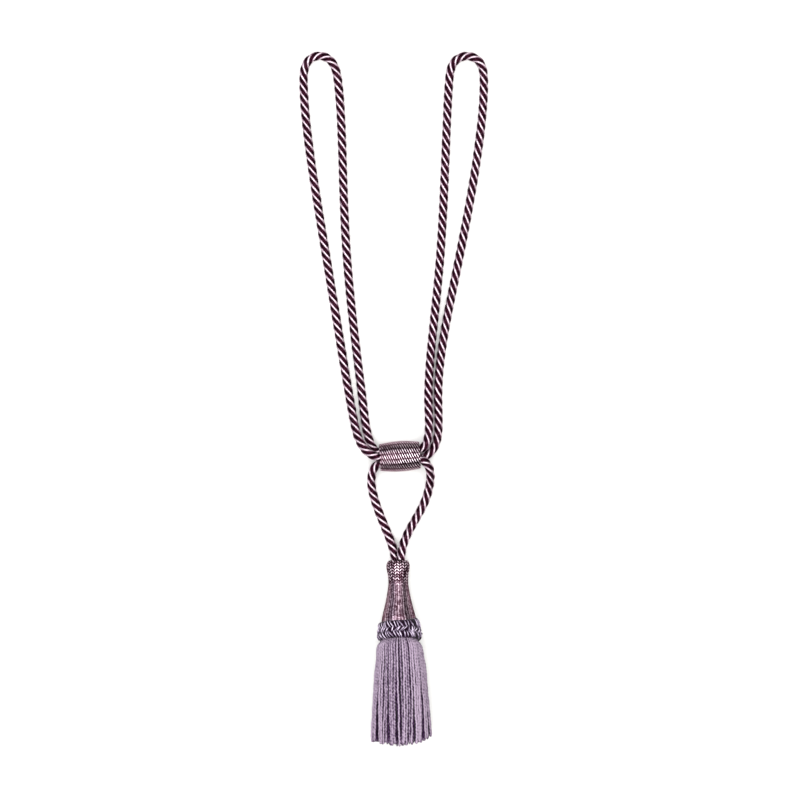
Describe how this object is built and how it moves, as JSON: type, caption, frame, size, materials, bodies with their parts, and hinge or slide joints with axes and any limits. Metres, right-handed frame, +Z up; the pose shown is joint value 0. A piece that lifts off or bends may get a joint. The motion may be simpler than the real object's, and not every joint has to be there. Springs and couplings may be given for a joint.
{
  "type": "curtain tieback tassel",
  "caption": "Curtain tieback of twisted rope laid in two long loops, drawn through a wound barrel sleeve, with a wound tassel head, plaited ruff and long fringe skirt.",
  "frame": {"origin": "on the surface it lies on, under the middle of the sleeve and tassel", "axes": "+Y from the tassel's fringe towards the rope loops, +X to the right as seen from above with the loops up, +Z up from the surface"},
  "size_m": [0.1569, 0.5758, 0.0384],
  "materials": {
    "rope": "satin yarns laid up in plum and pale pink strands",
    "sleeve": "wound satin gimp",
    "head": "wound satin yarn over a turned mould",
    "ruff": "plaited yarn",
    "skirt": "soft twisted yarns"
  },
  "bodies": {
    "root": {"rope": "rope", "sleeve": "sleeve", "head": "head", "ruff": "ruff", "skirt": "skirt"}
  },
  "joints": []
}
